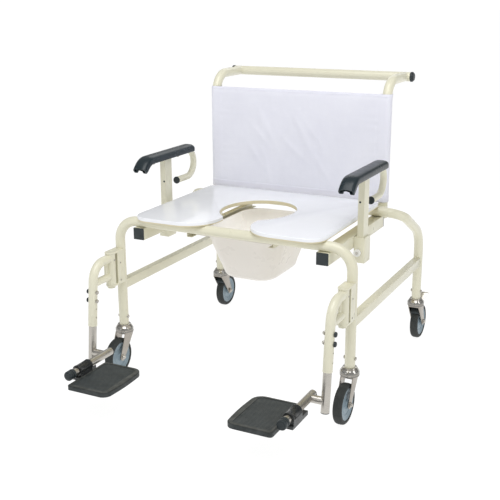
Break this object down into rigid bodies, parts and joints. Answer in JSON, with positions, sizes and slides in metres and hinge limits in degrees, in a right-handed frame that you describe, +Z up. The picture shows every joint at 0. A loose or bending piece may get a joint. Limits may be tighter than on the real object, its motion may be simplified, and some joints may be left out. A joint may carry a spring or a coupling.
{
  "type": "commode chair",
  "caption": "Wide wheeled commode and shower chair with bent-tube frame, fabric back, open-front seat, pan, drop-down arms and swing-away footrests.",
  "frame": {"origin": "on the floor under the middle of the chair's box", "axes": "+Z up, -Y is the way the sitter faces, +X is the sitter's left"},
  "size_m": [0.867, 1.1876, 0.9699],
  "materials": {
    "frame_paint": "cream powder coat, semi gloss",
    "black_plastic": "matt black moulding",
    "steel": "plain zinc-plated steel",
    "caster_steel": "bright pressed steel",
    "sling_fabric": "plain woven nylon, pale lavender grey",
    "seat_plastic": "smooth white",
    "pan_plastic": "smooth warm white",
    "pad_plastic": "charcoal, fine moulded grain",
    "knob_plastic": "white knob",
    "bolt_caps": "black caps on steel bolts",
    "footplate_plastic": "black, ribbed",
    "hub_plastic": "blue grey",
    "tyre": "dark grey rubber"
  },
  "bodies": {
    "root": {"front_hoop": "frame_paint", "rear_hoop": "frame_paint", "post_saddles": "frame_paint", "push_bar": "frame_paint", "end_caps": "black_plastic", "caster_stems": "steel", "frame_bolts": "steel", "back_sling": "sling_fabric", "side_rail_left": "frame_paint", "side_rail_right": "frame_paint", "side_brace_left": "frame_paint", "side_brace_right": "frame_paint", "pan_rail_left": "frame_paint", "pan_rail_right": "frame_paint", "back_post_left": "frame_paint", "back_post_right": "frame_paint", "arm_socket_left": "frame_paint", "arm_socket_right": "frame_paint", "footrest_bracket_left": "frame_paint", "footrest_bracket_right": "frame_paint"},
    "seat": {"seat_plate": "seat_plastic"},
    "pan": {"commode_pan": "pan_plastic"},
    "front_left_caster": {"front_left_fork": "caster_steel", "front_left_axle": "steel"},
    "front_left_wheel": {"front_left_hub": "hub_plastic", "front_left_tyre": "tyre"},
    "front_right_caster": {"front_right_fork": "caster_steel", "front_right_axle": "steel"},
    "front_right_wheel": {"front_right_hub": "hub_plastic", "front_right_tyre": "tyre"},
    "rear_left_caster": {"rear_left_fork": "caster_steel", "rear_left_axle": "steel", "rear_left_brake_guard": "black_plastic"},
    "rear_left_wheel": {"rear_left_hub": "hub_plastic", "rear_left_tyre": "tyre"},
    "rear_right_caster": {"rear_right_fork": "caster_steel", "rear_right_axle": "steel", "rear_right_brake_guard": "black_plastic"},
    "rear_right_wheel": {"rear_right_hub": "hub_plastic", "rear_right_tyre": "tyre"},
    "brake_left": {"rear_left_brake_pedal": "steel"},
    "arm_left": {"arm_frame_left": "frame_paint", "arm_pad_left": "pad_plastic", "arm_cap_left": "black_plastic"},
    "latch_left": {"arm_latch_left": "knob_plastic"},
    "hanger_left": {"hanger_left": "frame_paint", "hanger_bolts_left": "bolt_caps"},
    "leg_left": {"leg_tube_left": "steel", "leg_caps_left": "black_plastic"},
    "footplate_left": {"footplate_left": "footplate_plastic"},
    "brake_right": {"rear_right_brake_pedal": "steel"},
    "arm_right": {"arm_frame_right": "frame_paint", "arm_pad_right": "pad_plastic", "arm_cap_right": "black_plastic"},
    "latch_right": {"arm_latch_right": "knob_plastic"},
    "hanger_right": {"hanger_right": "frame_paint", "hanger_bolts_right": "bolt_caps"},
    "leg_right": {"leg_tube_right": "steel", "leg_caps_right": "black_plastic"},
    "footplate_right": {"footplate_right": "footplate_plastic"}
  },
  "joints": [
    {"name": "seat_lift", "type": "slide", "parent": "root", "child": "seat", "axis": [0, 0, 1], "range_m": [0, 0.12]},
    {"name": "pan_slide", "type": "slide", "parent": "root", "child": "pan", "axis": [0, 1, 0], "range_m": [0, 0.4]},
    {"name": "front_left_swivel", "type": "hinge", "parent": "root", "child": "front_left_caster", "pos_m": [0.404, -0.19175, 0.15], "axis": [0, 0, 1], "continuous": true},
    {"name": "front_left_roll", "type": "hinge", "parent": "front_left_caster", "child": "front_left_wheel", "pos_m": [0.404, -0.23475, 0.0625], "axis": [1, 0, 0], "continuous": true},
    {"name": "front_right_swivel", "type": "hinge", "parent": "root", "child": "front_right_caster", "pos_m": [-0.404, -0.19175, 0.15], "axis": [0, 0, 1], "continuous": true},
    {"name": "front_right_roll", "type": "hinge", "parent": "front_right_caster", "child": "front_right_wheel", "pos_m": [-0.404, -0.23475, 0.0625], "axis": [1, 0, 0], "continuous": true},
    {"name": "rear_left_swivel", "type": "hinge", "parent": "root", "child": "rear_left_caster", "pos_m": [0.404, 0.48825, 0.15], "axis": [0, 0, 1], "continuous": true},
    {"name": "rear_left_roll", "type": "hinge", "parent": "rear_left_caster", "child": "rear_left_wheel", "pos_m": [0.404, 0.53125, 0.0625], "axis": [1, 0, 0], "continuous": true},
    {"name": "rear_right_swivel", "type": "hinge", "parent": "root", "child": "rear_right_caster", "pos_m": [-0.404, 0.48825, 0.15], "axis": [0, 0, 1], "continuous": true},
    {"name": "rear_right_roll", "type": "hinge", "parent": "rear_right_caster", "child": "rear_right_wheel", "pos_m": [-0.404, 0.53125, 0.0625], "axis": [1, 0, 0], "continuous": true},
    {"name": "brake_left_press", "type": "hinge", "parent": "rear_left_caster", "child": "brake_left", "pos_m": [0.404, 0.52425, 0.141], "axis": [-1, 0, 0], "range_deg": [0, 12]},
    {"name": "arm_left_drop", "type": "slide", "parent": "root", "child": "arm_left", "axis": [0, 0, -1], "range_m": [0, 0.158]},
    {"name": "latch_left_pull", "type": "slide", "parent": "root", "child": "latch_left", "axis": [0, -1, 0], "range_m": [0, 0.008], "stiffness_N_per_m": 400, "springref_m": -0.005},
    {"name": "hanger_left_swing", "type": "hinge", "parent": "root", "child": "hanger_left", "pos_m": [0.402, -0.25575, 0.375], "axis": [0, 0, 1], "range_deg": [0, 90]},
    {"name": "leg_left_length", "type": "slide", "parent": "hanger_left", "child": "leg_left", "axis": [0, -0.1031, -0.9947], "range_m": [0, 0.054]},
    {"name": "footplate_left_flip", "type": "hinge", "parent": "leg_left", "child": "footplate_left", "pos_m": [0.352, -0.47175, 0.133], "axis": [0, 1, 0], "range_deg": [0, 90]},
    {"name": "brake_right_press", "type": "hinge", "parent": "rear_right_caster", "child": "brake_right", "pos_m": [-0.404, 0.52425, 0.141], "axis": [-1, 0, 0], "range_deg": [0, 12]},
    {"name": "arm_right_drop", "type": "slide", "parent": "root", "child": "arm_right", "axis": [0, 0, -1], "range_m": [0, 0.158]},
    {"name": "latch_right_pull", "type": "slide", "parent": "root", "child": "latch_right", "axis": [0, -1, 0], "range_m": [0, 0.008], "stiffness_N_per_m": 400, "springref_m": -0.005},
    {"name": "hanger_right_swing", "type": "hinge", "parent": "root", "child": "hanger_right", "pos_m": [-0.402, -0.25575, 0.375], "axis": [0, 0, -1], "range_deg": [0, 90]},
    {"name": "leg_right_length", "type": "slide", "parent": "hanger_right", "child": "leg_right", "axis": [0, -0.1031, -0.9947], "range_m": [0, 0.054]},
    {"name": "footplate_right_flip", "type": "hinge", "parent": "leg_right", "child": "footplate_right", "pos_m": [-0.352, -0.47175, 0.133], "axis": [0, -1, 0], "range_deg": [0, 90]}
  ]
}
